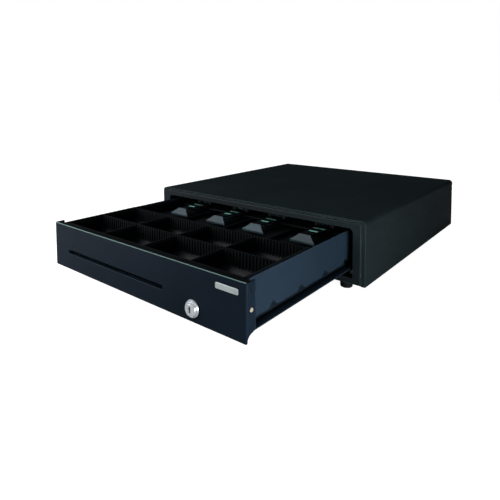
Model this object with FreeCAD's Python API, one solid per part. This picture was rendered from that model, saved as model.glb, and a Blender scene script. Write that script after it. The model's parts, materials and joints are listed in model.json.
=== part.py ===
import FreeCAD, Part
import math
import os

# Electric cash drawer: sheet-steel cabinet, sliding till drawer, coin and note tray.
# Millimetres. X to the right, Y to the back, Z up. Z = 0 is the underside of the base pan,
# X = Y = 0 is the centre of the cabinet. The drawer is drawn pulled out by OPENING.

V = FreeCAD.Vector
X_AXIS, Y_AXIS, Z_AXIS = V(1, 0, 0), V(0, 1, 0), V(0, 0, 1)

# ---- overall sizes
WIDTH = 410.0
DEPTH = 415.0
HEIGHT = 90.5
OPENING = 225.0
SHEET = 1.2
HALF_W = WIDTH / 2
FRONT = -DEPTH / 2
BACK = DEPTH / 2
PANEL = FRONT - OPENING          # front face of the drawer panel

# ---- cabinet
COVER_FRONT = FRONT + SHEET
COVER_BACK = BACK - 1.5
COVER_R = 6.3
MOUTH_HALF_W = 198.9
MOUTH_TOP = 87.4
FRAME_HALF_W = 198.4
FRAME_TOP = 86.4
FRAME_BOTTOM = 1.6
OPEN_HALF_W = 186.5
OPEN_BOTTOM = 8.5
OPEN_TOP = 78.0
FRAME_RETURN = 9.0
BASE_T = 1.5
BASE_HALF_W = 203.5
BASE_FLANGE_H = 36.0
MOUNT_PITCH = 300.0
MOUNT_HOLE_R = 2.75
FOOT_R = 9.5
FOOT_H = 9.5
FOOT_X = 171.5
FOOT_INSET = 13.5

# ---- runners and rollers
RAIL_INNER = 188.5
RAIL_OUTER = 202.3
RAIL_T = 1.0
RAIL_BOTTOM = 19.0
RAIL_TOP = 35.0
RAIL_FRONT = FRONT + 26.0
RAIL_BACK = BACK - 14.0
FRONT_ROLLER_R = 5.5
FRONT_ROLLER_Y = FRONT + 15.5
FRONT_ROLLER_Z = 13.7
REAR_ROLLER_X = 189.8
REAR_ROLLER_R = 6.2
REAR_ROLLER_Z = 27.0
AXLE_R = 2.5
RUN_GAP = 0.05

# ---- drawer
PANEL_HALF_W = 184.0
PANEL_BOTTOM = 10.0
PANEL_TOP = 74.0
PANEL_RETURN = 14.5
PANEL_HEM = 8.0
PANEL_BEND_R = 3.0
PANEL_LOWER_R = 2.4
PANEL_SCREW_Y, PANEL_SCREW_Z = PANEL + 7.3, 44.7
SLOT_X0, SLOT_X1 = -147.0, 58.0
SLOT_Z0, SLOT_Z1 = 33.8, 39.2
WALL_Y = PANEL + 8.5             # inner front wall, front face
TUB_HALF_W = 175.0
TUB_FLOOR = 15.0
TUB_TOP = 72.0
TUB_FRONT = WALL_Y + SHEET
TUB_LENGTH = 305.0
TUB_BACK = TUB_FRONT + TUB_LENGTH
REAR_AXLE_Y = TUB_BACK - 12.0
RUNNER_HALF_W = 182.0
RUNNER_Z = 19.5
RUNNER_Y0, RUNNER_Y1 = PANEL + 16.0, TUB_BACK - 26.0
RECESS_X = 168.0                 # the tub's side steps in to here below RECESS_TOP
RECESS_TOP = 28.0
RECESS_BACK = RUNNER_Y1 + 2.0
DART_H = 7.0
DART_HALF_W = 9.0
DART_YS = [PANEL + 57.0 * n for n in (1, 2, 3, 4)]

# ---- lock
LOCK_X, LOCK_Z = 107.5, 26.2
LOCK_BODY_R = 7.8
LOCK_HEAD_R = 10.0
LOCK_FACE_R = 8.3
LOCK_FLANGE_T = 1.9
LOCK_PROUD = 4.0
LOCK_DEPTH = 24.0                 # threaded body behind the panel
KEYWAY_HALF_W, KEYWAY_HALF_H = 1.2, 3.6
PLUG_R = 6.0
CAM_Y = PANEL + 24.3
CAM_T = 2.0
CAM_REACH = 18.5

# ---- tray
TRAY_HALF_W = 172.5
TRAY_Y0 = TUB_FRONT + 1.0
TRAY_Y1 = TUB_BACK - SHEET - 1.0
TRAY_BOTTOM = 40.0
TRAY_TOP = 73.0
CUP_FLOOR = 43.0
MID_WALL_Y = PANEL + 72.5
REAR_WALL_Y = PANEL + 135.0
CORE_T = 2.0
TOOTH_H = 1.3
CUP_PITCH = 86.25
COMB_PITCH = CUP_PITCH / 17
TOOTH_W = 2.6
SCOOP_R = 17.0
NOTE_FLOOR = 53.0
NOTE_RIM = 70.0
NOTE_WALL_TOP = 60.0
BRIDGE_Y0, BRIDGE_Y1 = PANEL + 240.0, PANEL + 272.0
BRIDGE_TOP = 62.5

# ---- note clips
CLIP_XS = [-118.5, -33.7, 42.8, 129.4]
HINGE_Y = PANEL + 253.0
HINGE_Z = 68.0
PIN_R = 1.5

# ---- latch, solenoid and ejector, at the back of the cabinet
LATCH_PIVOT = (16.0, 165.0)
LATCH_Z = 28.0
LATCH_T = 3.0
LATCH_CLEAR_DEG = 11.5
STAGE_TOP = 19.5
PLUNGER_X = 46.0
PLUNGER_Z = 32.5
EJECT_X, EJECT_Z = -60.0, 32.0
EJECT_STROKE = 20.0

os.makedirs("parts", exist_ok=True)


# ---- shape helpers
def box(x0, x1, y0, y1, z0, z1):
    return Part.makeBox(x1 - x0, y1 - y0, z1 - z0, V(x0, y0, z0))


def cyl(x, y, z, r, h, axis=Z_AXIS):
    return Part.makeCylinder(r, h, V(x, y, z), axis)


def cone(x, y, z, r0, r1, h, axis=Z_AXIS):
    return Part.makeCone(r0, r1, h, V(x, y, z), axis)


def fuse(shapes):
    result = shapes[0]
    if len(shapes) > 1:
        result = shapes[0].multiFuse(shapes[1:])
    return result.removeSplitter()


def cut(shape, tools):
    return shape.cut(Part.makeCompound(tools) if len(tools) > 1 else tools[0])


def prism(points, direction):
    wire = Part.makePolygon(points + [points[0]])
    return Part.Face(wire).extrude(direction)


def mirror_x(shape):
    return shape.mirror(V(0, 0, 0), X_AXIS)


def edges_where(shape, test):
    return [e for e in shape.Edges if test(e)]


def along(edge, axis):
    if not isinstance(edge.Curve, Part.Line):
        return False
    return abs(abs(edge.tangentAt(edge.FirstParameter).dot(axis)) - 1) < 1e-6


def round_edges(shape, radius, test):
    return shape.makeFillet(radius, edges_where(shape, test))


def rounded_bar(x0, x1, y0, y1, z0, z1, radius, axis, corner_test=None):
    """Box with the edges that run along one axis rounded."""
    body = box(x0, x1, y0, y1, z0, z1)
    return round_edges(body, radius, lambda e: along(e, axis)
                       and (corner_test is None or corner_test(e.CenterOfMass)))


def hexagon(x, y, z, flats, height, axis):
    turned = FreeCAD.Rotation(Z_AXIS, axis)
    radius = flats / math.sqrt(3)
    points = []
    for i in range(6):
        angle = math.radians(60 * i + 30)
        local = V(radius * math.cos(angle), radius * math.sin(angle), 0)
        points.append(turned.multVec(local) + V(x, y, z))
    return prism(points, axis * height)


def export(name, shapes):
    body = shapes[0] if len(shapes) == 1 else Part.makeCompound(shapes)
    body.exportStep("parts/" + name + ".step")


# ---- cabinet
def make_cover():
    outer = box(-HALF_W, HALF_W, COVER_FRONT, COVER_BACK, 0, HEIGHT)
    outer = round_edges(outer, COVER_R, lambda e: along(e, Y_AXIS)
                        and e.CenterOfMass.z > HEIGHT - 1)
    outer = round_edges(outer, 1.1, lambda e: abs(e.CenterOfMass.y - COVER_FRONT) < 0.01
                        and e.CenterOfMass.z > 1)
    inner = box(-HALF_W + SHEET, HALF_W - SHEET, COVER_FRONT + SHEET, COVER_BACK - SHEET,
                -1, HEIGHT - SHEET)
    inner = round_edges(inner, COVER_R - SHEET, lambda e: along(e, Y_AXIS)
                        and e.CenterOfMass.z > HEIGHT - 2)
    mouth = rounded_bar(-MOUTH_HALF_W, MOUTH_HALF_W, COVER_FRONT - 1, COVER_FRONT + 2,
                        -1, MOUTH_TOP, 7.0, Y_AXIS, lambda c: c.z > 1)
    back_mouth = box(-HALF_W + 13, HALF_W - 13, COVER_BACK - 2, COVER_BACK + 1, -1, HEIGHT - 13)
    holes = [cyl(x, COVER_BACK - 3, z, 2.1, 6, Y_AXIS) for x, z in COVER_SCREWS]
    return cut(outer, [inner, mouth, back_mouth] + holes)


COVER_SCREWS = [(s * 197.0, z) for s in (-1, 1) for z in (16.0, 60.0)]
COVER_SCREWS += [(s * 95.0, HEIGHT - 7.5) for s in (-1, 1)]


def make_cover_screws():
    screws = []
    for x, z in COVER_SCREWS:
        shank = cyl(x, COVER_BACK - 7.0, z, 2.0, 7.0, Y_AXIS)
        head = round_edges(cyl(x, COVER_BACK, z, 3.6, 1.5, Y_AXIS), 0.6,
                           lambda e: abs(e.CenterOfMass.y - COVER_BACK - 1.5) < 0.01)
        cross = [box(x - 2.0, x + 2.0, COVER_BACK + 0.7, BACK + 1, z - 0.4, z + 0.4),
                 box(x - 0.4, x + 0.4, COVER_BACK + 0.7, BACK + 1, z - 2.0, z + 2.0)]
        screws.append(cut(fuse([shank, head]), cross))
    return screws


FEET = [(sx * FOOT_X, y) for sx in (-1, 1) for y in (FRONT + FOOT_INSET, BACK - 25.0)]
MOUNT_HOLES = [(sx * MOUNT_PITCH / 2, sy * MOUNT_PITCH / 2) for sx in (-1, 1) for sy in (-1, 1)]
BACK_WALL_Y = COVER_BACK - SHEET - 1.2
SOCKET_X, SOCKET_Z = 150.0, 38.0


def make_base():
    half = BASE_HALF_W
    floor = box(-half, half, FRONT + 2.5, BACK_WALL_Y + 1.2, 0, BASE_T)
    sides = [box(s * half - (1.2 if s > 0 else 0), s * half + (0 if s > 0 else 1.2),
                 FRONT + 2.6, BACK_WALL_Y + 1.2, 0, BASE_FLANGE_H) for s in (-1, 1)]
    wall = rounded_bar(-half, half, BACK_WALL_Y, BACK_WALL_Y + 1.2, 0, HEIGHT - 1.6,
                       5.0, Y_AXIS, lambda c: c.z > 1)
    ribs = []
    for y in (-110.0, -40.0, 40.0, 110.0):
        ribs.append(rounded_bar(-120, 120, y - 5, y + 5, BASE_T, BASE_T + 1.0, 4.9, Z_AXIS))
    pan = fuse([floor, wall] + sides + ribs)
    holes = [cyl(x, y, -1, MOUNT_HOLE_R, 4) for x, y in MOUNT_HOLES]
    holes += [cyl(x, y, -1, 2.1, 4) for x, y in FEET]
    holes += [cyl(x, COVER_BACK - 5, z, 2.0, 6, Y_AXIS) for x, z in COVER_SCREWS]
    holes += [cyl(x, FRONT_ROLLER_Y, FRONT_ROLLER_Z, AXLE_R, 4, X_AXIS)
              for x in (-half - 2, half - 2)]
    holes.append(box(SOCKET_X - 6.5, SOCKET_X + 6.5, BACK_WALL_Y - 1, BACK_WALL_Y + 3,
                     SOCKET_Z - 6, SOCKET_Z + 6))
    return cut(pan, holes)


def make_frame():
    outer = box(-FRAME_HALF_W, FRAME_HALF_W, FRONT, FRONT + 8.5, FRAME_BOTTOM, FRAME_TOP)
    outer = round_edges(outer, 6.5, lambda e: along(e, Y_AXIS) and e.CenterOfMass.z > 50)
    outer = round_edges(outer, 1.5, lambda e: along(e, Y_AXIS) and e.CenterOfMass.z < 50)
    outer = round_edges(outer, 1.1, lambda e: abs(e.CenterOfMass.y - FRONT) < 0.01)
    hollow = rounded_bar(-FRAME_HALF_W + SHEET, FRAME_HALF_W - SHEET, FRONT + SHEET, FRONT + 20,
                         FRAME_BOTTOM + SHEET, FRAME_TOP - SHEET, 5.3, Y_AXIS,
                         lambda c: c.z > 50)
    ring = rounded_bar(-OPEN_HALF_W - SHEET, OPEN_HALF_W + SHEET, FRONT + 0.6,
                       FRONT + FRAME_RETURN, OPEN_BOTTOM - SHEET, OPEN_TOP + SHEET,
                       7.5, Y_AXIS, lambda c: c.z > 50)
    opening = rounded_bar(-OPEN_HALF_W, OPEN_HALF_W, FRONT - 1, FRONT + 20,
                          OPEN_BOTTOM, OPEN_TOP, 6.5, Y_AXIS, lambda c: c.z > 50)
    opening = round_edges(opening, 1.5, lambda e: along(e, Y_AXIS) and e.CenterOfMass.z < 50)
    frame = cut(fuse([cut(outer, [hollow]), ring]), [opening])
    inner_rim = edges_where(frame, lambda e: abs(e.CenterOfMass.y - FRONT) < 0.01
                            and abs(e.CenterOfMass.x) < OPEN_HALF_W + 0.1
                            and e.BoundBox.ZMax < OPEN_TOP + 0.1)
    return frame.makeFillet(0.8, inner_rim)


def make_feet():
    feet = []
    for x, y in FEET:
        foot = cone(x, y, -FOOT_H, FOOT_R - 1.0, FOOT_R, FOOT_H)
        foot = round_edges(foot, 1.2, lambda e: abs(e.CenterOfMass.z + FOOT_H) < 0.01)
        feet.append(cut(foot, [cyl(x, y, -FOOT_H - 1, 4.5, FOOT_H - 3.2),
                               cyl(x, y, -FOOT_H, 2.1, 12)]))
    return feet


def make_foot_screws():
    screws = []
    for x, y in FEET:
        head = round_edges(cyl(x, y, -7.0, 3.8, 2.7), 0.6, lambda e: e.CenterOfMass.z < -6.9)
        shank = cyl(x, y, -4.5, 2.0, 8.5)
        nut = hexagon(x, y, BASE_T + 0.05, 7.0, 2.4, Z_AXIS)
        slot = box(x - 3, x + 3, y - 0.5, y + 0.5, -7.5, -6.0)
        screws.append(cut(fuse([head, shank, nut]), [slot]))
    return screws


# ---- rails, stops and front rollers
def make_rail():
    web = box(RAIL_OUTER - RAIL_T, RAIL_OUTER, RAIL_FRONT, RAIL_BACK, RAIL_BOTTOM, RAIL_TOP)
    low = box(RAIL_INNER, RAIL_OUTER, RAIL_FRONT, RAIL_BACK, RAIL_BOTTOM, RAIL_BOTTOM + RAIL_T)
    high = box(RAIL_INNER, RAIL_OUTER, RAIL_FRONT, RAIL_BACK, RAIL_TOP - RAIL_T, RAIL_TOP)
    rail = fuse([web, low, high])
    return round_edges(rail, 0.8, lambda e: along(e, Y_AXIS)
                       and abs(e.CenterOfMass.x - RAIL_OUTER) < 0.01)


STOP_BACK = REAR_AXLE_Y - REAR_ROLLER_R - 0.3


def make_stops():
    block = rounded_bar(190.0, 201.0, STOP_BACK - 9.0, STOP_BACK,
                        RAIL_BOTTOM + RAIL_T + 0.05, RAIL_TOP - RAIL_T - 0.05, 1.5, X_AXIS)
    return [block, mirror_x(block)]


def make_front_axles():
    y, z = FRONT_ROLLER_Y, FRONT_ROLLER_Z
    pin = fuse([cyl(175.9, y, z, 3.7, 0.9, X_AXIS), cyl(176.5, y, z, AXLE_R, 26.9, X_AXIS),
                cyl(184.2, y, z, 4.5, 18.1, X_AXIS)])
    return [pin, mirror_x(pin)]


def make_front_roller():
    y, z = FRONT_ROLLER_Y, FRONT_ROLLER_Z
    wheel = round_edges(cyl(177.0, y, z, FRONT_ROLLER_R, 7.0, X_AXIS), 0.8, lambda e: True)
    recess = [cyl(176.0, y, z, AXLE_R + RUN_GAP, 10, X_AXIS)]
    return cut(wheel, recess)


# ---- latch group
def stage_legs():
    legs = []
    for x0 in (-22.0, 58.8):
        legs.append(box(x0, x0 + 1.2, 140.0, 198.0, BASE_T, STAGE_TOP))
    legs.append(box(-34.0, -20.8, 150.0, 190.0, BASE_T, BASE_T + 1.2))
    legs.append(box(58.8, 72.0, 150.0, 190.0, BASE_T, BASE_T + 1.2))
    return legs


def make_stage():
    top = box(-22.0, 60.0, 132.0, 202.0, STAGE_TOP - 1.5, STAGE_TOP)
    px, py = LATCH_PIVOT
    stage = fuse([top] + stage_legs())
    return cut(stage, [cyl(px, py, STAGE_TOP - 3, 3.0, 6)])


def make_latch_pivot():
    px, py = LATCH_PIVOT
    post = fuse([cyl(px, py, STAGE_TOP - 1.5, 3.0, 8.2), cyl(px, py, STAGE_TOP, 4.5, 1.0),
                 cyl(px, py, LATCH_Z - 2.0, 2.5, 7.0)])
    clip = cyl(px, py, LATCH_Z + LATCH_T + 0.3, 4.2, 0.9)
    return fuse([post, clip])


def make_latch_spring():
    px, py = LATCH_PIVOT
    helix = Part.makeHelix(1.5, 4.5, 4.4)
    profile = Part.Wire(Part.makeCircle(0.5, V(4.4, 0, 0), Y_AXIS))
    coil = Part.Wire(helix.Edges).makePipeShell([profile], True, True)
    coil.translate(V(px, py, STAGE_TOP + 1.8))
    return coil


def make_latch_lever():
    px, py = LATCH_PIVOT
    z0, z1 = LATCH_Z, LATCH_Z + LATCH_T
    hub = cyl(px, py, z0, 7.0, LATCH_T)
    arm = prism([V(px - 6, py - 3, z0), V(px + 6, py - 3, z0), V(15.5, 119.5, z0),
                 V(7.5, 119.5, z0), V(7.5, 128.0, z0)], V(0, 0, LATCH_T))
    beak = prism([V(-3.0, 121.2, z0), V(1.0, 119.5, z0), V(9.0, 119.5, z0), V(9.0, 123.8, z0),
                  V(-3.0, 123.8, z0)], V(0, 0, LATCH_T))
    tail = box(px, PLUNGER_X + 4.0, py - 4.5, py + 4.5, z0, z1)
    lever = fuse([hub, arm, beak, tail])
    slot = fuse([box(PLUNGER_X - 1.5, PLUNGER_X + 1.5, py - 2.0, py + 2.0, z0 - 1, z1 + 1),
                 cyl(PLUNGER_X - 1.5, py, z0 - 1, 2.0, LATCH_T + 2),
                 cyl(PLUNGER_X + 1.5, py, z0 - 1, 2.0, LATCH_T + 2)])
    lever = cut(lever, [cyl(px, py, z0 - 1, 2.5 + RUN_GAP, 6), slot])
    lever.rotate(V(px, py, 0), Z_AXIS, LATCH_CLEAR_DEG)
    return lever


def plunger_pin_y():
    reach = PLUNGER_X - LATCH_PIVOT[0]
    return LATCH_PIVOT[1] + reach * math.sin(math.radians(LATCH_CLEAR_DEG))


def make_solenoid():
    x, z, y = PLUNGER_X, PLUNGER_Z, 179.0
    frame = rounded_bar(x - 12, x + 12, y, y + 23.5, STAGE_TOP, STAGE_TOP + 26.0, 1.5, Y_AXIS)
    windows = [box(x - 13, x + 13, y + 2.0, y + 21.5, STAGE_TOP + 2.0, STAGE_TOP + 24.0)]
    coil = cyl(x, y + 1.9, z, 10.6, 19.7, Y_AXIS)
    body = fuse([cut(frame, windows), coil])
    return cut(body, [cyl(x, y - 1, z, 4.0 + RUN_GAP, 19.0, Y_AXIS)])


def make_plunger():
    y, z, x = plunger_pin_y(), PLUNGER_Z, PLUNGER_X - 0.3
    rod = cyl(PLUNGER_X, y - 3.0, z, 4.0, 24.0, Y_AXIS)
    flat = box(x - 6, x + 6, y - 4.0, y + 6.3, z - 5.0, LATCH_Z + LATCH_T + 0.35)
    pin = cyl(x, y, LATCH_Z - 0.8, 1.5, 5.0)
    return fuse([cut(rod, [flat]), pin])


def make_switch():
    body = rounded_bar(-19.0, -7.0, 138.0, 158.0, STAGE_TOP, STAGE_TOP + 9.0, 0.8, Z_AXIS)
    leaf = box(-18.0, -8.0, 134.2, 134.5, STAGE_TOP + 1.0, STAGE_TOP + 8.0)
    foot = box(-18.0, -17.0, 134.2, 138.2, STAGE_TOP + 1.0, STAGE_TOP + 8.0)
    lugs = [box(-17.5, -8.5, 158.0, 162.0, STAGE_TOP + z, STAGE_TOP + z + 0.8) for z in (2, 6)]
    return fuse([body, leaf, foot] + lugs)


EJECT_HEAD_Y = FRONT + (TUB_BACK - PANEL) - EJECT_STROKE + 0.3


def make_eject_housing():
    x, z, y0 = EJECT_X, EJECT_Z, 138.0
    tube = cyl(x, y0, z, 9.0, BACK_WALL_Y - y0, Y_AXIS)
    saddle = box(x - 7.0, x + 7.0, y0 + 6, y0 + 50, BASE_T, z)
    foot = box(x - 15.0, x + 15.0, y0 + 10, y0 + 46, BASE_T, BASE_T + 3.0)
    bore = [cyl(x, y0 + 4, z, 7.2, BACK_WALL_Y - y0 - 6, Y_AXIS),
            cyl(x, y0 - 1, z, 4.0 + RUN_GAP, 10, Y_AXIS)]
    return cut(fuse([tube, saddle, foot]), bore)


def make_eject_plunger():
    x, z, y = EJECT_X, EJECT_Z, EJECT_HEAD_Y
    head = round_edges(cyl(x, y, z, 8.0, 5.0, Y_AXIS), 1.2,
                       lambda e: abs(e.CenterOfMass.y - y) < 0.01)
    rod = cyl(x, y + 4.0, z, 4.0, 66.0, Y_AXIS)
    collar = cyl(x, y + 60.0, z, 6.9, 4.0, Y_AXIS)
    return fuse([head, rod, collar])


def make_eject_spring():
    start = EJECT_HEAD_Y + 64.2
    length = BACK_WALL_Y - 2.4 - start
    helix = Part.makeHelix(length / 7.0, length - 1.2, 5.6)
    profile = Part.Wire(Part.makeCircle(0.6, V(5.6, 0, 0), Y_AXIS))
    coil = Part.Wire(helix.Edges).makePipeShell([profile], True, True)
    coil.rotate(V(0, 0, 0), X_AXIS, -90)
    coil.translate(V(EJECT_X, start + 0.6, EJECT_Z))
    return coil


def make_socket():
    x, z, y = SOCKET_X, SOCKET_Z, BACK_WALL_Y
    body = box(x - 6.4, x + 6.4, y - 14.0, y + 2.2, z - 5.9, z + 5.9)
    flange = box(x - 9.0, x + 9.0, y - 2.0, y, z - 8.0, z + 8.0)
    port = [box(x - 4.85, x + 4.85, y - 11.0, y + 4, z - 3.4, z + 3.3),
            box(x - 2.0, x + 2.0, y - 11.0, y + 4, z - 5.0, z - 3.3)]
    return cut(fuse([body, flange]), port)


def make_keeper():
    x0, x1 = LOCK_X - 8.0, LOCK_X + 13.0
    upright = box(x0, x1, FRONT + 21.0, FRONT + 23.0, BASE_T, 12.5)
    foot = box(x0, x1, FRONT + 10.0, FRONT + 23.0, BASE_T, BASE_T + 1.5)
    return round_edges(fuse([upright, foot]), 1.8, lambda e: along(e, Y_AXIS)
                       and e.CenterOfMass.z > 12.4)


# ---- drawer
def slot_prism(y0, y1, grow):
    """Media slot outline: straight top edge, both ends drawn down and rounded."""
    x0, x1 = SLOT_X0 - grow, SLOT_X1 + grow
    z0, z1 = SLOT_Z0 - grow, SLOT_Z1 + grow
    return rounded_bar(x0, x1, y0, y1, z0, z1, (z1 - z0) / 2 - 0.05, Y_AXIS)


def panel_block(inset, depth):
    """Front plate's outline shrunk by the sheet thickness, with its bends rounded."""
    y, low = PANEL + inset, PANEL_BOTTOM + inset
    block = box(-PANEL_HALF_W + inset, PANEL_HALF_W - inset, y, y + depth, low,
                PANEL_TOP - inset)
    block = round_edges(block, PANEL_BEND_R - inset, lambda e: along(e, Z_AXIS)
                        and abs(e.CenterOfMass.y - y) < 0.01)
    return round_edges(block, PANEL_LOWER_R - inset,
                       lambda e: abs(e.CenterOfMass.z - low) < 0.01
                       and e.CenterOfMass.y < y + depth - 0.1)


def make_panel():
    y = PANEL
    outer = round_edges(panel_block(0, PANEL_RETURN), 1.2,
                        lambda e: abs(e.CenterOfMass.z - PANEL_TOP) < 0.01
                        and e.CenterOfMass.y < y + PANEL_RETURN - 0.1)
    trim_top = box(-PANEL_HALF_W + 1.3, PANEL_HALF_W - 1.3, y + PANEL_HEM, y + 30,
                   PANEL_TOP - 4, PANEL_TOP + 1)
    trim_bottom = box(-171.0, 171.0, y + PANEL_HEM, y + 30, PANEL_BOTTOM - 1, PANEL_BOTTOM + 2)
    curve = [V(0, y + 1.6, PANEL_BOTTOM - 1), V(0, y + 2.0, 15.0), V(0, y + 2.8, 16.8),
             V(0, y + 4.4, 18.6), V(0, y + 6.8, 19.8), V(0, y + 10.0, 20.6),
             V(0, y + 13.5, 21.6), V(0, y + 30, 21.8), V(0, y + 30, PANEL_BOTTOM - 1)]
    for point in curve:
        point.x = 170.0
    side_cut = prism(curve, V(20, 0, 0))
    notches = [box(s * 183.4 - 2, s * 183.4 + 2, y + 6.1, y + 7.5, 60.6, 67.8) for s in (-1, 1)]
    lips = slot_prism(y + 0.6, y + 4.0, 1.0)
    trims = [trim_top, trim_bottom, side_cut, mirror_x(side_cut)]
    shell = fuse([cut(outer, [panel_block(SHEET, 40)] + trims + notches), lips])
    holes = [slot_prism(y - 1, y + 6, 0.0), cyl(LOCK_X, y - 1, LOCK_Z, LOCK_BODY_R + 0.1, 4, Y_AXIS),
             cyl(-200, PANEL_SCREW_Y, PANEL_SCREW_Z, 1.6, 400, X_AXIS)]
    panel = cut(shell, holes)
    rim = edges_where(panel, lambda e: abs(e.CenterOfMass.y - y) < 0.01
                      and SLOT_X0 - 1 < e.BoundBox.XMin and e.BoundBox.XMax < SLOT_X1 + 1
                      and e.BoundBox.ZMax < SLOT_Z1 + 0.5)
    return panel.makeFillet(0.7, rim)


def make_panel_screws():
    x, y, z = PANEL_HALF_W, PANEL_SCREW_Y, PANEL_SCREW_Z
    head = round_edges(cyl(x, y, z, 2.3, 1.0, X_AXIS), 0.45, lambda e: e.CenterOfMass.x > x + 0.9)
    shank = cyl(x - 5.0, y, z, 1.5, 5.0, X_AXIS)
    cross = [box(x + 0.5, x + 3, y - 1.3, y + 1.3, z - 0.3, z + 0.3),
             box(x + 0.5, x + 3, y - 0.3, y + 0.3, z - 1.3, z + 1.3)]
    screw = cut(fuse([head, shank]), cross)
    return [screw, mirror_x(screw)]


def make_badge():
    plate = rounded_bar(142.5, 173.3, PANEL - 0.8, PANEL, 58.9, 65.4, 1.4, Y_AXIS)
    return round_edges(plate, 0.3, lambda e: abs(e.CenterOfMass.y - PANEL + 0.8) < 0.01)


def make_front_wall():
    y = WALL_Y
    plate = box(-182.7, 182.7, y, y + SHEET, 22.5, 70.0)
    lower = box(-TUB_HALF_W, TUB_HALF_W, y, y + SHEET, TUB_FLOOR, 30.0)
    tab = box(181.5, 182.7, PANEL + 3.5, PANEL + 12.5, 26.0, 70.0)
    screw_hole = cyl(178.9, PANEL_SCREW_Y, PANEL_SCREW_Z, 1.5, 5.0, X_AXIS)
    holes = [slot_prism(y - 1, y + 3, 1.6), cyl(LOCK_X, y - 1, LOCK_Z, LOCK_BODY_R + 0.3, 4, Y_AXIS),
             screw_hole, mirror_x(screw_hole)]
    return cut(fuse([plate, lower, tab, mirror_x(tab)]), holes)


STRIKER_X = 10.0


def dart(y, grow):
    """Hollow of one pressed dart: a half pyramid running up the side from the recess."""
    x, z = TUB_HALF_W, RECESS_TOP + grow
    scale = 1 + grow / DART_H
    apex = V(x, y, z + DART_H * scale)
    low_a = V(x, y - DART_HALF_W * scale, z)
    low_b = V(x, y + DART_HALF_W * scale, z)
    tip = V(x - DART_H * scale, y, z)
    faces = [[apex, low_a, tip], [apex, tip, low_b], [apex, low_b, low_a], [low_a, low_b, tip]]
    shell = Part.Shell([Part.Face(Part.makePolygon(f + [f[0]])) for f in faces])
    solid = Part.Solid(shell)
    if solid.Volume < 0:
        solid.reverse()
    return solid


def side_hollows(grow):
    """Recess for one runner and its darts, as seen from outside or grown by the sheet."""
    recess = box(RECESS_X - grow, TUB_HALF_W + 1, TUB_FRONT - 2, RECESS_BACK + grow,
                 TUB_FLOOR - 2, RECESS_TOP + grow)
    hollows = [recess] + [dart(y, grow) for y in DART_YS]
    return hollows + [mirror_x(h) for h in hollows]


def make_tub():
    y0, y1 = TUB_FRONT, TUB_BACK
    outer = box(-TUB_HALF_W, TUB_HALF_W, y0, y1, TUB_FLOOR, TUB_TOP)
    outer = cut(outer, side_hollows(0))
    inner = box(-TUB_HALF_W + SHEET, TUB_HALF_W - SHEET, y0 - 1, y1 - SHEET,
                TUB_FLOOR + SHEET, TUB_TOP + 1)
    inner = cut(inner, side_hollows(SHEET))
    cam_slot = box(LOCK_X - 8.5, LOCK_X + 21.5, PANEL + 21.5, PANEL + 29.5, TUB_FLOOR - 1,
                   TUB_FLOOR + 2)
    axle = cyl(-200, REAR_AXLE_Y, REAR_ROLLER_Z, AXLE_R, 400, X_AXIS)
    tub = cut(outer, [inner, cam_slot, axle])
    return round_edges(tub, 0.5, lambda e: along(e, Y_AXIS) and e.CenterOfMass.z > TUB_TOP - 0.1)


def make_runner():
    x = RECESS_X
    leg = box(x, x + SHEET, RUNNER_Y0, RUNNER_Y1, RUNNER_Z, RECESS_TOP - 0.5)
    flange = box(x, RUNNER_HALF_W, RUNNER_Y0, RUNNER_Y1, RUNNER_Z, RUNNER_Z + SHEET)
    return round_edges(fuse([leg, flange]), 0.5, lambda e: along(e, Y_AXIS)
                       and e.CenterOfMass.x > RUNNER_HALF_W - 0.1)


def make_ledges():
    x = TUB_HALF_W - SHEET
    y0, y1 = TUB_FRONT + 20.0, TUB_BACK - 30.0
    ledge = fuse([box(x - SHEET, x, y0, y1, RECESS_TOP + SHEET, TRAY_BOTTOM),
                  box(x - 9.0, x, y0, y1, TRAY_BOTTOM - SHEET, TRAY_BOTTOM)])
    gap_top = RECESS_TOP + 2 * SHEET + DART_H + 0.2
    gaps = [box(x - 2 * SHEET, x + 1, y - 12.5, y + 12.5, RECESS_TOP, gap_top) for y in DART_YS]
    ledge = cut(ledge, gaps)
    return [ledge, mirror_x(ledge)]


def make_rear_axles():
    y, z = REAR_AXLE_Y, REAR_ROLLER_Z
    spacer = REAR_ROLLER_X - 0.3 - TUB_HALF_W
    end = REAR_ROLLER_X + 8.3
    pin = fuse([cyl(TUB_HALF_W - 2.8, y, z, 4.0, 1.6, X_AXIS),
                cyl(TUB_HALF_W - 2.0, y, z, AXLE_R, end + 0.5 - TUB_HALF_W + 2.0, X_AXIS),
                cyl(TUB_HALF_W, y, z, 4.5, spacer, X_AXIS), cyl(end, y, z, 3.8, 1.2, X_AXIS)])
    return [pin, mirror_x(pin)]


def make_rear_roller():
    x, y, z = REAR_ROLLER_X, REAR_AXLE_Y, REAR_ROLLER_Z
    wheel = round_edges(cyl(x, y, z, REAR_ROLLER_R, 8.0, X_AXIS), 0.8, lambda e: True)
    return cut(wheel, [cyl(x - 1, y, z, AXLE_R + RUN_GAP, 10, X_AXIS)])


def make_striker():
    y = TUB_BACK
    plate = box(-STRIKER_X, STRIKER_X, y, y + 1.5, 24.0, 42.0)
    tongue = box(-STRIKER_X, STRIKER_X, y, y + 26.0, 24.0, 25.5)
    tongue = round_edges(tongue, 5.0, lambda e: along(e, Z_AXIS) and e.CenterOfMass.y > y + 20)
    pin = round_edges(cyl(0, y + 20.0, 25.0, 3.0, 9.0), 0.6,
                      lambda e: e.CenterOfMass.z > 33.9)
    return fuse([plate, tongue, pin])


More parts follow.
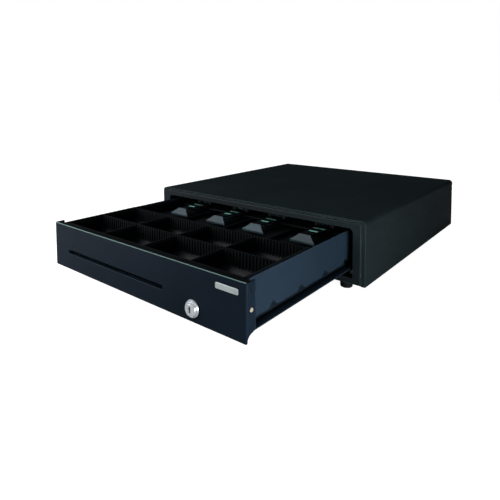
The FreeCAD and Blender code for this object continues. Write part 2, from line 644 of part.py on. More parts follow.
# ---- lock
def make_lock_body():
    x, z, y = LOCK_X, LOCK_Z, PANEL
    flange = cone(x, y - LOCK_FLANGE_T, z, LOCK_HEAD_R - 0.6, LOCK_HEAD_R, LOCK_FLANGE_T, Y_AXIS)
    face = cone(x, y - LOCK_PROUD, z, LOCK_FACE_R - 0.8, LOCK_FACE_R, LOCK_PROUD, Y_AXIS)
    body = cyl(x, y - 0.5, z, LOCK_BODY_R, LOCK_DEPTH + 0.5, Y_AXIS)
    lock = fuse([flange, face, body])
    return cut(lock, [cyl(x, y - 7, z, PLUG_R + RUN_GAP, 40, Y_AXIS)])


def make_lock_nut():
    nut = hexagon(LOCK_X, PANEL + SHEET + 0.05, LOCK_Z, 21.0, 5.0, Y_AXIS)
    return cut(nut, [cyl(LOCK_X, PANEL, LOCK_Z, LOCK_BODY_R + 0.02, 10, Y_AXIS)])


def make_lock_plug():
    x, z, y = LOCK_X, LOCK_Z, PANEL
    front = y - LOCK_PROUD - 0.3
    plug = cyl(x, front, z, PLUG_R, y + LOCK_DEPTH + 0.1 - front, Y_AXIS)
    plug = round_edges(plug, 0.5, lambda e: e.CenterOfMass.y < front + 0.1)
    tail = box(x - 3.0, x + 3.0, y + 20, CAM_Y + CAM_T - 0.05, z - 3.0, z + 3.0)
    w, h = KEYWAY_HALF_W, KEYWAY_HALF_H
    keyway = [box(x - w, x + w, y - 7, y + 10, z - h, z + h),
              box(x - w - 0.9, x + w, y - 7, y + 10, z - 0.2, z + 1.4),
              cyl(x, CAM_Y - 6, z, 1.5, 10, Y_AXIS)]
    return cut(fuse([plug, tail]), keyway)


def make_lock_cam():
    x, z = LOCK_X, LOCK_Z
    hub = cyl(x, CAM_Y, z, 7.0, CAM_T, Y_AXIS)
    arm = box(x, x + CAM_REACH - 4, CAM_Y, CAM_Y + CAM_T, z - 4.5, z + 4.5)
    end = cyl(x + CAM_REACH - 4.5, CAM_Y, z, 4.5, CAM_T, Y_AXIS)
    return cut(fuse([hub, arm, end]), [box(x - 3.05, x + 3.05, CAM_Y - 1, CAM_Y + 4,
                                           z - 3.05, z + 3.05)])


def make_cam_screw():
    x, z = LOCK_X, LOCK_Z
    head = round_edges(cyl(x, CAM_Y + CAM_T + 0.05, z, 4.5, 1.8, Y_AXIS), 0.6,
                       lambda e: e.CenterOfMass.y > CAM_Y + CAM_T + 1)
    shank = cyl(x, CAM_Y - 5.5, z, 1.5, 5.5 + CAM_T + 0.5, Y_AXIS)
    cross = [box(x - 2, x + 2, CAM_Y + CAM_T + 1.0, CAM_Y + 6, z - 0.4, z + 0.4),
             box(x - 0.4, x + 0.4, CAM_Y + CAM_T + 1.0, CAM_Y + 6, z - 2, z + 2)]
    return cut(fuse([head, shank]), cross)


# ---- tray
def comb_wall(y, front_teeth, back_teeth, z0, z1):
    """Cross wall drawn as one comb outline and extruded upwards."""
    half = TRAY_HALF_W - 1.0
    y0, y1 = y - CORE_T / 2, y + CORE_T / 2
    count = int((TRAY_HALF_W - 4) / COMB_PITCH)
    centres = [(n + 0.5) * COMB_PITCH for n in range(-count, count)]
    front, back = [V(-half, y0, z0)], []
    for c in centres:
        if front_teeth:
            front += [V(c - TOOTH_W / 2, y0, z0), V(c - TOOTH_W / 2, y0 - TOOTH_H, z0),
                      V(c + TOOTH_W / 2, y0 - TOOTH_H, z0), V(c + TOOTH_W / 2, y0, z0)]
        if back_teeth:
            back += [V(c - TOOTH_W / 2, y1, z0), V(c - TOOTH_W / 2, y1 + TOOTH_H, z0),
                     V(c + TOOTH_W / 2, y1 + TOOTH_H, z0), V(c + TOOTH_W / 2, y1, z0)]
    front.append(V(half, y0, z0))
    back = [V(-half, y1, z0)] + back + [V(half, y1, z0)]
    return prism(front + back[::-1], V(0, 0, z1 - z0))


def scoop(y, side, radius=SCOOP_R):
    """Curved filler along a cup's bottom edge; side +1 curves up towards +Y."""
    y0, y1 = (y - radius, y) if side > 0 else (y, y + radius)
    filler = box(-TRAY_HALF_W + 1, TRAY_HALF_W - 1, y0, y1, CUP_FLOOR - 0.2, CUP_FLOOR + radius)
    axis_y = y0 if side > 0 else y1
    return cut(filler, [cyl(-200, axis_y, CUP_FLOOR + radius, radius, 400, X_AXIS)])


def scoops():
    front_face = TRAY_Y0 + 2.4
    return [scoop(front_face, -1), scoop(MID_WALL_Y, 1), scoop(MID_WALL_Y, -1),
            scoop(REAR_WALL_Y, 1)]


def make_tray():
    hw, y0, y1 = TRAY_HALF_W, TRAY_Y0, TRAY_Y1
    coin_back = REAR_WALL_Y + CORE_T / 2
    parts = [box(-hw, hw, y0, coin_back, TRAY_BOTTOM, CUP_FLOOR)]
    parts.append(box(-hw, hw, y0, y0 + 2.4, TRAY_BOTTOM, TRAY_TOP))
    for s in (-1, 1):
        x0 = -hw if s < 0 else hw - 2.4
        parts.append(box(x0, x0 + 2.4, y0, coin_back, TRAY_BOTTOM, TRAY_TOP))
        parts.append(box(x0, x0 + 2.4, coin_back - 1, y1, TRAY_BOTTOM, NOTE_RIM))
    parts.append(comb_wall(MID_WALL_Y, True, True, CUP_FLOOR - 0.5, TRAY_TOP - 1.0))
    parts.append(comb_wall(REAR_WALL_Y, True, False, CUP_FLOOR - 0.5, TRAY_TOP - 1.0))
    parts.append(comb_wall(y0 + 1.4, False, True, CUP_FLOOR - 0.5, TRAY_TOP - 3.0))
    parts.append(box(-hw, hw, coin_back - 1.5, coin_back, TRAY_BOTTOM, NOTE_FLOOR))
    parts.append(box(-hw, hw, coin_back - 1.0, y1, NOTE_FLOOR - 2.2, NOTE_FLOOR))
    parts.append(box(-hw, hw, y1 - 2.4, y1, TRAY_BOTTOM, NOTE_RIM))
    for x in (-CUP_PITCH, 0.0, CUP_PITCH):
        parts.append(box(x - 1.2, x + 1.2, coin_back - 0.5, y1 - 1, NOTE_FLOOR - 1,
                         NOTE_WALL_TOP))
    parts.append(box(-hw + 1, hw - 1, BRIDGE_Y0, BRIDGE_Y1, NOTE_WALL_TOP - 0.5, BRIDGE_TOP))
    return fuse(parts + scoops())


def make_coin_dividers():
    plates = []
    front_face = TRAY_Y0 + 2.4
    rows = [(front_face, MID_WALL_Y - CORE_T / 2), (MID_WALL_Y + CORE_T / 2,
                                                     REAR_WALL_Y - CORE_T / 2)]
    fillers = [f.copy() for f in scoops()]
    for filler in fillers:
        filler.translate(V(0, 0, 0.15))
    for ya, yb in rows:
        for x in (-CUP_PITCH, 0.0, CUP_PITCH):
            plate = box(x - 1.05, x + 1.05, ya + 0.2, yb - 0.2, CUP_FLOOR + 0.1, TRAY_TOP - 2.5)
            plate = cut(plate, fillers)
            plate = max(plate.Solids, key=lambda s: s.Volume)
            plates.append(round_edges(plate, 0.6, lambda e: along(e, Y_AXIS)
                                      and e.CenterOfMass.z > TRAY_TOP - 3))
    return plates


# ---- note clips
def make_clip_block(x):
    base = rounded_bar(x - 16.5, x + 16.5, BRIDGE_Y0 + 2, BRIDGE_Y1 - 2, BRIDGE_TOP,
                       BRIDGE_TOP + 1.2, 1.5, Z_AXIS)
    lugs = []
    for x0 in (x - 16.0, x + 12.4):
        profile = [V(x0, HINGE_Y - 6, BRIDGE_TOP + 0.5), V(x0, HINGE_Y + 9, BRIDGE_TOP + 0.5),
                   V(x0, HINGE_Y + 3.4, 71.4), V(x0, HINGE_Y - 3.4, 71.4)]
        lugs.append(prism(profile, V(3.6, 0, 0)))
    rear = box(x - 16.0, x + 16.0, HINGE_Y + 8.0, HINGE_Y + 11.0, BRIDGE_TOP + 0.5, 70.0)
    block = fuse([base, rear] + lugs)
    return cut(block, [cyl(x - 20, HINGE_Y, HINGE_Z, PIN_R, 40, X_AXIS)])


def make_clip_pin(x):
    return fuse([cyl(x - 16.8, HINGE_Y, HINGE_Z, PIN_R, 33.6, X_AXIS),
                 cyl(x + 16.1, HINGE_Y, HINGE_Z, 2.4, 1.0, X_AXIS)])


def make_clip_spring(x):
    helix = Part.makeHelix(1.35, 10.8, 2.6)
    profile = Part.Wire(Part.makeCircle(0.5, V(2.6, 0, 0), Y_AXIS))
    coil = Part.Wire(helix.Edges).makePipeShell([profile], True, True)
    coil.rotate(V(0, 0, 0), Y_AXIS, 90)
    coil.translate(V(x - 5.4, HINGE_Y, HINGE_Z))
    return coil


ARM_Z0, ARM_Z1 = 65.0, 67.0
NECK_Y = PANEL + 197.5
BLADE_TIP_Y = PANEL + 186.5
WINDOWS = [(PANEL + 213.6, PANEL + 219.9, 7.3), (PANEL + 229.8, PANEL + 236.1, 10.5)]


def make_clip_arm(x):
    right = [(8.5, NECK_Y - 3), (9.0, NECK_Y + 8), (15.6, HINGE_Y - 15), (15.6, HINGE_Y - 10),
             (12.0, HINGE_Y - 8), (12.0, HINGE_Y)]
    profile = [V(x + half, y, ARM_Z0) for half, y in right]
    profile += [V(x - half, y, ARM_Z0) for half, y in right[::-1]]
    plate = prism(profile, V(0, 0, ARM_Z1 - ARM_Z0))
    knuckles = [cyl(x0, HINGE_Y, HINGE_Z, 3.7, 4.7, X_AXIS) for x0 in (x - 12.0, x + 7.3)]
    notch = box(x - 7.3, x + 7.3, HINGE_Y - 9, HINGE_Y + 5, ARM_Z0 - 1, ARM_Z1 + 1)
    windows = [rounded_bar(x - half, x + half, y0, y1, ARM_Z0 - 1, ARM_Z1 + 1, 0.8, Z_AXIS)
               for y0, y1, half in WINDOWS]
    bore = cyl(x - 20, HINGE_Y, HINGE_Z, PIN_R + RUN_GAP, 40, X_AXIS)
    return cut(fuse([cut(plate, [notch]), knuckles[0], knuckles[1]]), windows + [bore])


def make_clip_paddle(x):
    """Grey presser: flared sloping blade, tongue under the arm, two lugs in its windows."""
    steps = 6
    y_back, y_tip = NECK_Y - 1.0, BLADE_TIP_Y
    left, right = [], []
    for i in range(steps + 1):
        t = i / steps
        half = 8.5 + 11.5 * t ** 1.6
        y = y_back + (y_tip - y_back) * t
        left.append(V(x - half, y, 0))
        right.append(V(x + half, y, 0))
    outline = prism(left + right[::-1], V(0, 0, 90))
    x0 = x - 25
    slab = prism([V(x0, NECK_Y + 2, 62.9), V(x0, NECK_Y - 3.8, 62.9), V(x0, y_tip - 1, 55.8),
                  V(x0, y_tip - 1, 58.2), V(x0, NECK_Y - 3.05, 67.2), V(x0, NECK_Y - 3.05, 65.0),
                  V(x0, NECK_Y + 2, 65.0)], V(50, 0, 0))
    blade = slab.common(outline)
    tongue = prism([V(x - 7.5, NECK_Y - 3.5, 62.9), V(x + 7.5, NECK_Y - 3.5, 62.9),
                    V(x + 10.0, PANEL + 222, 62.9), V(x + 13.0, HINGE_Y - 14.5, 62.9),
                    V(x - 13.0, HINGE_Y - 14.5, 62.9), V(x - 10.0, PANEL + 222, 62.9)],
                   V(0, 0, 2.1))
    lugs = [rounded_bar(x - half + 0.2, x + half - 0.2, y0 + 0.2, y1 - 0.2, 64.0, 66.5, 0.7, Z_AXIS)
            for y0, y1, half in WINDOWS]
    return fuse([blade, tongue] + lugs)


# ---- write every node
export("case_cover", [make_cover()])
export("cover_screws", make_cover_screws())
export("case_base", [make_base()])
export("front_frame", [make_frame()])
export("feet", make_feet())
export("foot_screws", make_foot_screws())

rail = make_rail()
export("rail_right", [rail])
export("rail_left", [mirror_x(rail)])
export("drawer_stops", make_stops())
export("front_axles", make_front_axles())
front_roller = make_front_roller()
export("front_roller_right", [front_roller])
export("front_roller_left", [mirror_x(front_roller)])

export("latch_stage", [make_stage()])
export("latch_pivot", [make_latch_pivot()])
export("latch_spring", [make_latch_spring()])
export("latch_lever", [make_latch_lever()])
export("solenoid_body", [make_solenoid()])
export("solenoid_plunger", [make_plunger()])
export("drawer_switch", [make_switch()])
export("ejector_housing", [make_eject_housing()])
export("ejector_plunger", [make_eject_plunger()])
export("ejector_spring", [make_eject_spring()])
export("rear_socket", [make_socket()])
export("lock_keeper", [make_keeper()])

export("drawer_panel", [make_panel()])
export("panel_screws", make_panel_screws())
export("badge", [make_badge()])
export("drawer_front_wall", [make_front_wall()])
export("drawer_tub", [make_tub()])
runner = make_runner()
export("drawer_runner_right", [runner])
export("drawer_runner_left", [mirror_x(runner)])
export("tray_ledges", make_ledges())
export("rear_axles", make_rear_axles())
rear_roller = make_rear_roller()
export("rear_roller_right", [rear_roller])
export("rear_roller_left", [mirror_x(rear_roller)])
export("striker", [make_striker()])

export("lock_body", [make_lock_body()])
export("lock_nut", [make_lock_nut()])
export("lock_plug", [make_lock_plug()])
export("lock_cam", [make_lock_cam()])
export("cam_screw", [make_cam_screw()])

export("tray", [make_tray()])
export("coin_dividers", make_coin_dividers())
export("clip_blocks", [make_clip_block(x) for x in CLIP_XS])
export("clip_pins", [make_clip_pin(x) for x in CLIP_XS])
export("clip_springs", [make_clip_spring(x) for x in CLIP_XS])
for number, clip_x in enumerate(CLIP_XS, 1):
    export("clip_arm_%d" % number, [make_clip_arm(clip_x)])
    export("clip_paddle_%d" % number, [make_clip_paddle(clip_x)])
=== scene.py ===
import json
import math

import bpy
from mathutils import Matrix, Vector


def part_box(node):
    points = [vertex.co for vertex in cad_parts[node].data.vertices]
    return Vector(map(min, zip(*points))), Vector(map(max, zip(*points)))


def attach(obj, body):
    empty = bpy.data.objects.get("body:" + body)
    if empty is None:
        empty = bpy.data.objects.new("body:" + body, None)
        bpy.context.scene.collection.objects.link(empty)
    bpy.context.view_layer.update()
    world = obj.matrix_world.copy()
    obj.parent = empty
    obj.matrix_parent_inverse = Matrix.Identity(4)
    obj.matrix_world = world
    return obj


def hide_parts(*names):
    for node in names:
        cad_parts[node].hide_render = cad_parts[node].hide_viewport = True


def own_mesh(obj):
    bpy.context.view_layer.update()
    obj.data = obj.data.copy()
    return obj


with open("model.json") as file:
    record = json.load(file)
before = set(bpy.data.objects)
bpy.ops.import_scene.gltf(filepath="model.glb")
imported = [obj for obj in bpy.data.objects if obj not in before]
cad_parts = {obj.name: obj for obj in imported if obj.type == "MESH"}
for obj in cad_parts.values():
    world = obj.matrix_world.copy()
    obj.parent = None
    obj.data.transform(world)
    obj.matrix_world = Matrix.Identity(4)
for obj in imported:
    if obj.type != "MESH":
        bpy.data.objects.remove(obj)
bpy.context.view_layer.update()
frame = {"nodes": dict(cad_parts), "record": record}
nodes = frame["nodes"]

FLOOR_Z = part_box("feet")[0][2]
FLOOR_HALF = 60.0
EDGE_RADIUS = 0.0009               # how far in from an edge the coating is rubbed and the painted edge highlight reaches
BEYOND = 0.01                      # lets a zone run past the piece it colours
# widths of the panel's painted bend highlight and of the painted shade on its hem
BEND_HIGHLIGHT_BAND, BEND_HIGHLIGHT_SOFT = 0.0006, 0.0003
HEM_SHADE_BAND, HEM_SHADE_START, HEM_SHADE_END = 0.0008, 0.0014, 0.012
LUG_HEIGHT, LUG_START = 0.0087, 0.02   # from a paddle's lowest and foremost points

CAMERA_TURN = (38.88, 4.0, -0.14)      # yaw, downward pitch and roll in degrees
CAMERA_PLACE = (0.4566, -0.7645, 0.2508)
CAMERA_LENS = 32.5
CAMERA_SHIFT = -0.233

# Colour sockets of a Mix node
MIX_FIRST, MIX_SECOND, MIX_RESULT = 6, 7, 2


# ---- node helpers
def to_linear(red, green, blue):
    """Linear colour from display values 0 to 255."""
    def channel(value):
        value /= 255.0
        return value / 12.92 if value <= 0.04045 else ((value + 0.055) / 1.055) ** 2.4
    return (channel(red), channel(green), channel(blue), 1.0)


class Tree:
    """Builds one material, keeping the wiring short."""

    def __init__(self, name):
        self.material = bpy.data.materials.new(name)
        self.material.use_nodes = True
        self.nodes = self.material.node_tree.nodes
        self.links = self.material.node_tree.links
        self.nodes.clear()
        self.output = self.nodes.new("ShaderNodeOutputMaterial")
        self.shader = self.nodes.new("ShaderNodeBsdfPrincipled")
        self.link(self.shader, "BSDF", self.output, "Surface")
        self.place = self.nodes.new("ShaderNodeTexCoord")

    def link(self, source, out, target, socket):
        self.links.new(source.outputs[out], target.inputs[socket])

    def noise(self, scale, detail=3.0, rough=0.55, stretch=None):
        node = self.nodes.new("ShaderNodeTexNoise")
        node.inputs["Scale"].default_value = scale
        node.inputs["Detail"].default_value = detail
        node.inputs["Roughness"].default_value = rough
        if stretch is None:
            self.link(self.place, "Object", node, "Vector")
        else:
            mapping = self.nodes.new("ShaderNodeMapping")
            mapping.inputs["Scale"].default_value = stretch
            self.link(self.place, "Object", mapping, "Vector")
            self.link(mapping, "Vector", node, "Vector")
        return node

    def ramp(self, source, out, low, high, stops):
        node = self.nodes.new("ShaderNodeValToRGB")
        node.color_ramp.elements[0].position = low
        node.color_ramp.elements[1].position = high
        node.color_ramp.elements[0].color = stops[0]
        node.color_ramp.elements[1].color = stops[1]
        self.link(source, out, node, "Fac")
        return node

    def span(self, source, out, low, high, new_low, new_high):
        node = self.nodes.new("ShaderNodeMapRange")
        node.inputs["From Min"].default_value = low
        node.inputs["From Max"].default_value = high
        node.inputs["To Min"].default_value = new_low
        node.inputs["To Max"].default_value = new_high
        self.link(source, out, node, "Value")
        return node

    def mix(self, factor, factor_out, first, second):
        node = self.nodes.new("ShaderNodeMix")
        node.data_type = "RGBA"
        self.link(factor, factor_out, node, 0)
        for value, socket in ((first, MIX_FIRST), (second, MIX_SECOND)):
            if isinstance(value, tuple):
                node.inputs[socket].default_value = value
            else:
                self.links.new(value, node.inputs[socket])
        return node

    def cloud(self, scale, detail, high, dark, light, low=0.35):
        """Base colour that drifts between two tones."""
        colour = self.ramp(self.noise(scale, detail), "Fac", low, high, (dark, light))
        self.link(colour, "Color", self.shader, "Base Color")

    def gloss(self, pattern, smooth, rough):
        """Roughness that follows a noise pattern."""
        value = self.span(pattern, "Fac", 0.3, 0.7, smooth, rough)
        self.link(value, "Result", self.shader, "Roughness")

    def grain(self, pattern, strength, height):
        """Fine relief that follows a noise pattern."""
        node = self.nodes.new("ShaderNodeBump")
        node.inputs["Strength"].default_value = strength
        node.inputs["Distance"].default_value = height
        self.link(pattern, "Fac", node, "Height")
        self.link(node, "Normal", self.shader, "Normal")

    def zone(self, axis, low, high, soft=0.0004):
        """1 where one of the object's own coordinates lies between two values."""
        split = self.nodes.new("ShaderNodeSeparateXYZ")
        self.link(self.place, "Object", split, "Vector")
        rise = self.span(split, axis, low - soft, low, 0.0, 1.0)
        fall = self.span(split, axis, high, high + soft, 1.0, 0.0)
        return self.times(rise, "Result", fall, "Result")

    def times(self, first, first_out, second, second_out):
        node = self.nodes.new("ShaderNodeMath")
        node.operation = "MULTIPLY"
        self.link(first, first_out, node, 0)
        self.link(second, second_out, node, 1)
        return node

    def tint(self, mask, mask_out, colour):
        """Lay a colour over what feeds the base colour, where the mask is 1."""
        socket = self.shader.inputs["Base Color"]
        under = socket.links[0].from_socket
        blended = self.mix(mask, mask_out, under, colour)
        self.links.new(blended.outputs[MIX_RESULT], socket)

    def edge_mask(self, radius, low, high):
        """0 on flats, 1 on the sharp edges within a radius."""
        bevel = self.nodes.new("ShaderNodeBevel")
        bevel.samples = 4
        bevel.inputs["Radius"].default_value = radius
        here = self.nodes.new("ShaderNodeNewGeometry")
        dot = self.nodes.new("ShaderNodeVectorMath")
        dot.operation = "DOT_PRODUCT"
        self.link(bevel, "Normal", dot, 0)
        self.link(here, "Normal", dot, 1)
        return self.span(dot, "Value", high, low, 0.0, 1.0)

    def paint_fold_shade(self, distance):
        """Painted shade: darkens the folds and gaps narrower than a distance."""
        fold = self.nodes.new("ShaderNodeAmbientOcclusion")
        fold.samples = 8
        fold.inputs["Distance"].default_value = distance
        dim = self.span(fold, "AO", 0.35, 0.8, 0.92, 0.0)
        self.tint(dim, "Result", to_linear(3, 5, 7))


# ---- materials
def coated_steel(name, dark, light, rough, grain=900.0, grain_height=0.25, edge_wear_and_sheen=None,
                 least_wear_and_sheen=0.0, specular=0.2, painted_shade_reach=0.0):
    """Powder coat or stove paint: orange-peel grain, faint smears, rubbed edges that also carry a
    painted highlight where the bright edge runs unbroken, painted shade in the folds.
    """
    tree = Tree(name)
    tree.cloud(7.0, 4.0, 0.7, dark, light)
    if edge_wear_and_sheen is not None:
        # rubbed edges in a bright tint; with the least patch value raised the bright edge runs
        # unbroken and is a painted highlight
        edge = tree.edge_mask(EDGE_RADIUS, 0.90, 0.995)
        breakup = tree.noise(160.0, 5.0)
        patches = tree.span(breakup, "Fac", 0.42, 0.66, least_wear_and_sheen, 0.8)
        tree.tint(tree.times(edge, "Result", patches, "Result"), "Value", edge_wear_and_sheen)
    if painted_shade_reach:
        # painted shade darkens the folds and gaps within this reach
        tree.paint_fold_shade(painted_shade_reach)
    smears = tree.noise(26.0, 6.0, 0.65, stretch=(1.0, 0.35, 1.0))
    tree.gloss(smears, rough - 0.05, rough + 0.07)
    tree.shader.inputs["Specular IOR Level"].default_value = specular
    tree.grain(tree.noise(grain, 2.0), grain_height, 0.00012)
    return tree


def panel_paint():
    """Front plate, with a painted highlight along the top bend and painted shade on the hem behind
    it.
    """
    tree = coated_steel("panel_paint", to_linear(10, 20, 30), to_linear(14, 26, 38), 0.44,
                        grain=1300.0, grain_height=0.12, edge_wear_and_sheen=to_linear(60, 76, 84), specular=0.06,
                        painted_shade_reach=0.006)
    low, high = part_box("drawer_panel")
    hem = tree.times(tree.zone("Z", high[2] - HEM_SHADE_BAND, high[2] + BEYOND), "Value",
                     tree.zone("Y", low[1] + HEM_SHADE_START, low[1] + HEM_SHADE_END), "Value")
    # painted shade on the hem behind the top bend
    tree.tint(hem, "Value", to_linear(7, 10, 12))
    bend_highlight = tree.times(tree.zone("Z", high[2] - BEND_HIGHLIGHT_BAND, high[2] + BEYOND, BEND_HIGHLIGHT_SOFT), "Value",
                      tree.zone("Y", low[1] - BEYOND, low[1] + BEND_HIGHLIGHT_BAND, BEND_HIGHLIGHT_SOFT), "Value")
    # painted highlight along the front top bend
    tree.tint(bend_highlight, "Value", to_linear(96, 124, 120))
    return tree


def paddle_plastic():
    """Grey pressers; the two lugs that show in each arm's windows are pale blue-green."""
    tree = moulded_plastic("paddle_plastic", to_linear(33, 52, 59), to_linear(47, 72, 80), 0.55,
                           700.0, 0.5)
    low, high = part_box("clip_paddle_1")
    lugs = tree.times(tree.zone("Z", low[2] + LUG_HEIGHT, high[2] + BEYOND), "Value",
                      tree.zone("Y", low[1] + LUG_START, high[1] + BEYOND), "Value")
    tree.tint(lugs, "Value", to_linear(110, 172, 160))
    return tree


def bare_metal(name, dark, light, rough, brushed=None, metallic=1.0, painted_shade_reach=0.0):
    tree = Tree(name)
    tree.shader.inputs["Metallic"].default_value = metallic
    tree.cloud(60.0, 5.0, 0.75, dark, light, low=0.3)
    if painted_shade_reach:
        # painted shade darkens the folds and gaps within this reach
        tree.paint_fold_shade(painted_shade_reach)
    streak = tree.noise(900.0, 3.0, 0.6, stretch=brushed or (1.0, 1.0, 1.0))
    tree.gloss(streak, rough * 0.8, rough * 1.35)
    tree.grain(streak, 0.12, 0.00005)
    return tree


def moulded_plastic(name, dark, light, rough, grain=1400.0, grain_height=0.2, specular=0.3):
    tree = Tree(name)
    tree.shader.inputs["Specular IOR Level"].default_value = specular
    tree.cloud(14.0, 5.0, 0.7, dark, light)
    tree.gloss(tree.noise(45.0, 6.0, 0.7), rough - 0.06, rough + 0.08)
    tree.grain(tree.noise(grain, 2.0), grain_height, 0.0001)
    return tree


MATERIALS = {
    # cover and frame: the unbroken bright edge along the front lips is a painted highlight as well
    # as rubbed paint
    "cover_paint": coated_steel("cover_paint", to_linear(19, 27, 30), to_linear(24, 33, 36), 0.50,
                                edge_wear_and_sheen=to_linear(96, 118, 118), least_wear_and_sheen=0.3, specular=0.06),
    "frame_paint": coated_steel("frame_paint", to_linear(16, 22, 25), to_linear(21, 29, 32), 0.42,
                                edge_wear_and_sheen=to_linear(90, 112, 112), least_wear_and_sheen=0.35, specular=0.12),
    "base_steel": coated_steel("base_steel", to_linear(17, 23, 26), to_linear(22, 30, 33), 0.47,
                               edge_wear_and_sheen=to_linear(80, 98, 98), specular=0.1),
    "panel_paint": panel_paint(),
    "drawer_paint": coated_steel("drawer_paint", to_linear(23, 34, 45), to_linear(28, 41, 53), 0.48,
                                 grain_height=0.12, edge_wear_and_sheen=to_linear(60, 72, 80), specular=0.06,
                                 painted_shade_reach=0.014),
    "zinc_steel": bare_metal("zinc_steel", to_linear(104, 112, 114), to_linear(146, 154, 155),
                             0.36),
    "brass_screw": bare_metal("brass_screw", to_linear(190, 182, 158), to_linear(226, 218, 196),
                              0.3, metallic=0.6),
    "spring_steel": bare_metal("spring_steel", to_linear(34, 52, 60), to_linear(56, 76, 84), 0.42),
    "badge_alu": bare_metal("badge_alu", to_linear(186, 198, 198), to_linear(212, 222, 222), 0.38,
                            brushed=(0.03, 1.0, 1.0), metallic=0.7),
    "lock_chrome": bare_metal("lock_chrome", to_linear(214, 221, 226), to_linear(228, 234, 238),
                              0.34, metallic=0.7, painted_shade_reach=0.003),
    "rubber_black": moulded_plastic("rubber_black", to_linear(9, 11, 12), to_linear(14, 17, 18),
                                    0.62, specular=0.1),
    "nylon_pale": moulded_plastic("nylon_pale", to_linear(112, 126, 122), to_linear(134, 148, 143),
                                  0.45),
    "tray_plastic": moulded_plastic("tray_plastic", to_linear(7, 11, 13), to_linear(11, 16, 19),
                                    0.46, specular=0.1),
    "divider_plastic": moulded_plastic("divider_plastic", to_linear(10, 12, 14),
                                       to_linear(15, 18, 20), 0.44, specular=0.12),
    "arm_plastic": moulded_plastic("arm_plastic", to_linear(6, 9, 11), to_linear(9, 13, 15), 0.5,
                                   specular=0.06),
    "paddle_plastic": paddle_plastic(),
    "solenoid_coil": moulded_plastic("solenoid_coil", to_linear(40, 40, 44), to_linear(60, 60, 64),
                                     0.5),
    "switch_plastic": moulded_plastic("switch_plastic", to_linear(30, 30, 32),
                                      to_linear(40, 40, 43), 0.45),
    "socket_plastic": moulded_plastic("socket_plastic", to_linear(24, 24, 26),
                                      to_linear(34, 34, 36), 0.4),
}


def paint_cad_nodes():
    slots = {part["node"]: part["material_slot"] for part in frame["record"]["subparts"]}
    slots["clip_pins"] = "spring_steel"   # blued like the springs round them
    for name, obj in nodes.items():
        material = MATERIALS[slots[name]].material
        obj.data.materials.clear()
        obj.data.materials.append(material)


def make_ejector_coil():
    """A copy of the ejector's spring, fixed to the cabinet in place of the CAD spring."""
    node = nodes["ejector_spring"]
    coil = bpy.data.objects.new("ejector_coil", node.data.copy())
    coil.matrix_world = node.matrix_world
    bpy.context.collection.objects.link(coil)
    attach(coil, "cabinet")
    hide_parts("ejector_spring")
    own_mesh(coil)


# ---- studio
def make_floor():
    half = FLOOR_HALF
    mesh = bpy.data.meshes.new("floor")
    corners = [(-half, -half, FLOOR_Z), (half, -half, FLOOR_Z), (half, half, FLOOR_Z),
               (-half, half, FLOOR_Z)]
    mesh.from_pydata(corners, [], [(0, 1, 2, 3)])
    floor = bpy.data.objects.new("floor", mesh)
    bpy.context.collection.objects.link(floor)
    tree = Tree("floor_sweep")
    tint = tree.noise(1.5, 3.0)
    colour = tree.ramp(tint, "Fac", 0.3, 0.7, (to_linear(148, 148, 148), to_linear(152, 152, 152)))
    tree.link(colour, "Color", tree.shader, "Base Color")
    tree.shader.inputs["Roughness"].default_value = 0.9
    tree.shader.inputs["Specular IOR Level"].default_value = 0.1
    tree.shader.inputs["Emission Color"].default_value = (1, 1, 1, 1)
    path = tree.nodes.new("ShaderNodeLightPath")
    glow = tree.span(path, "Is Camera Ray", 0.0, 1.0, 0.0, 0.95)
    tree.link(glow, "Result", tree.shader, "Emission Strength")
    floor.data.materials.append(tree.material)


def add_area(name, place, target, size, power):
    light = bpy.data.lights.new(name, "AREA")
    light.shape = "RECTANGLE"
    light.size, light.size_y = size
    light.energy = power
    obj = bpy.data.objects.new(name, light)
    turn = (Vector(target) - Vector(place)).to_track_quat("-Z", "Y").to_matrix().to_4x4()
    obj.matrix_world = Matrix.Translation(place) @ turn
    bpy.context.collection.objects.link(obj)


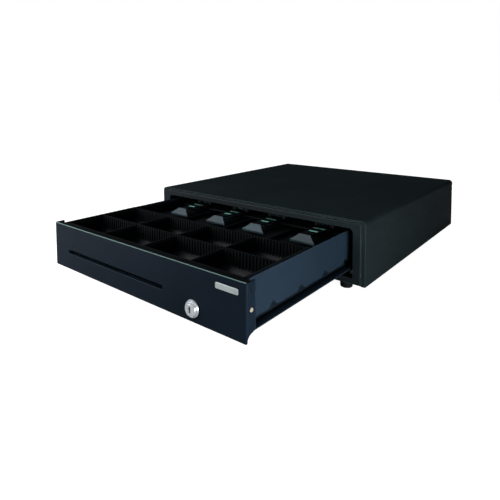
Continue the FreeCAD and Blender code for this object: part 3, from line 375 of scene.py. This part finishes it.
def make_lights():
    sun = bpy.data.lights.new("sky_soft", "SUN")
    sun.energy = 0.9
    sun.angle = math.radians(80)
    obj = bpy.data.objects.new("sky_soft", sun)
    obj.rotation_euler = (math.radians(12), math.radians(-8), 0)
    bpy.context.collection.objects.link(obj)
    add_area("softbox_left", (-1.05, -0.75, 1.25), (0, -0.2, 0.05), (1.3, 0.7), 13)
    add_area("softbox_front", (-0.55, -1.6, 0.75), (-0.1, -0.4, 0.05), (1.0, 0.6), 4)
    add_area("softbox_low_left", (-0.42, -0.78, 0.2), (-0.2, -0.43, 0.04), (0.3, 0.25), 2.8)
    add_area("softbox_right", (0.6, -0.47, 0.06), (0.2, -0.25, 0.03), (0.2, 0.1), 3.6)
    add_area("softbox_back", (0.0, 0.72, 0.035), (0, 0, 0.035), (0.34, 0.07), 1.6)


def make_world():
    world = bpy.data.worlds.new("studio")
    bpy.context.scene.world = world
    world.use_nodes = True
    tree = world.node_tree
    tree.nodes.clear()
    out = tree.nodes.new("ShaderNodeOutputWorld")
    seen = tree.nodes.new("ShaderNodeBackground")
    lit = tree.nodes.new("ShaderNodeBackground")
    pick = tree.nodes.new("ShaderNodeMixShader")
    path = tree.nodes.new("ShaderNodeLightPath")
    seen.inputs["Color"].default_value = (1, 1, 1, 1)
    seen.inputs["Strength"].default_value = 1.0
    lit.inputs["Color"].default_value = (0.9, 0.95, 1.0, 1)
    lit.inputs["Strength"].default_value = 0.02
    tree.links.new(path.outputs["Is Camera Ray"], pick.inputs["Fac"])
    tree.links.new(lit.outputs[0], pick.inputs[1])
    tree.links.new(seen.outputs[0], pick.inputs[2])
    tree.links.new(pick.outputs[0], out.inputs["Surface"])


def make_camera():
    yaw, pitch, roll = (math.radians(angle) for angle in CAMERA_TURN)
    ahead = Vector((-math.sin(yaw) * math.cos(pitch), math.cos(yaw) * math.cos(pitch),
                    -math.sin(pitch)))
    right = ahead.cross(Vector((0, 0, 1))).normalized()
    up = right.cross(ahead)
    tilt_right = right * math.cos(roll) + up * math.sin(roll)
    tilt_up = up * math.cos(roll) - right * math.sin(roll)
    camera = bpy.data.cameras.new("camera")
    camera.sensor_width = 36.0
    camera.lens = CAMERA_LENS
    camera.shift_y = CAMERA_SHIFT
    camera.clip_start = 0.01
    camera.clip_end = 200.0
    obj = bpy.data.objects.new("camera", camera)
    turn = Matrix((tilt_right, tilt_up, -ahead)).transposed().to_4x4()
    obj.matrix_world = Matrix.Translation(CAMERA_PLACE) @ turn
    bpy.context.collection.objects.link(obj)
    bpy.context.scene.camera = obj


bpy.context.scene.view_settings.view_transform = "Standard"
paint_cad_nodes()
make_ejector_coil()
make_floor()
make_lights()
make_world()
make_camera()
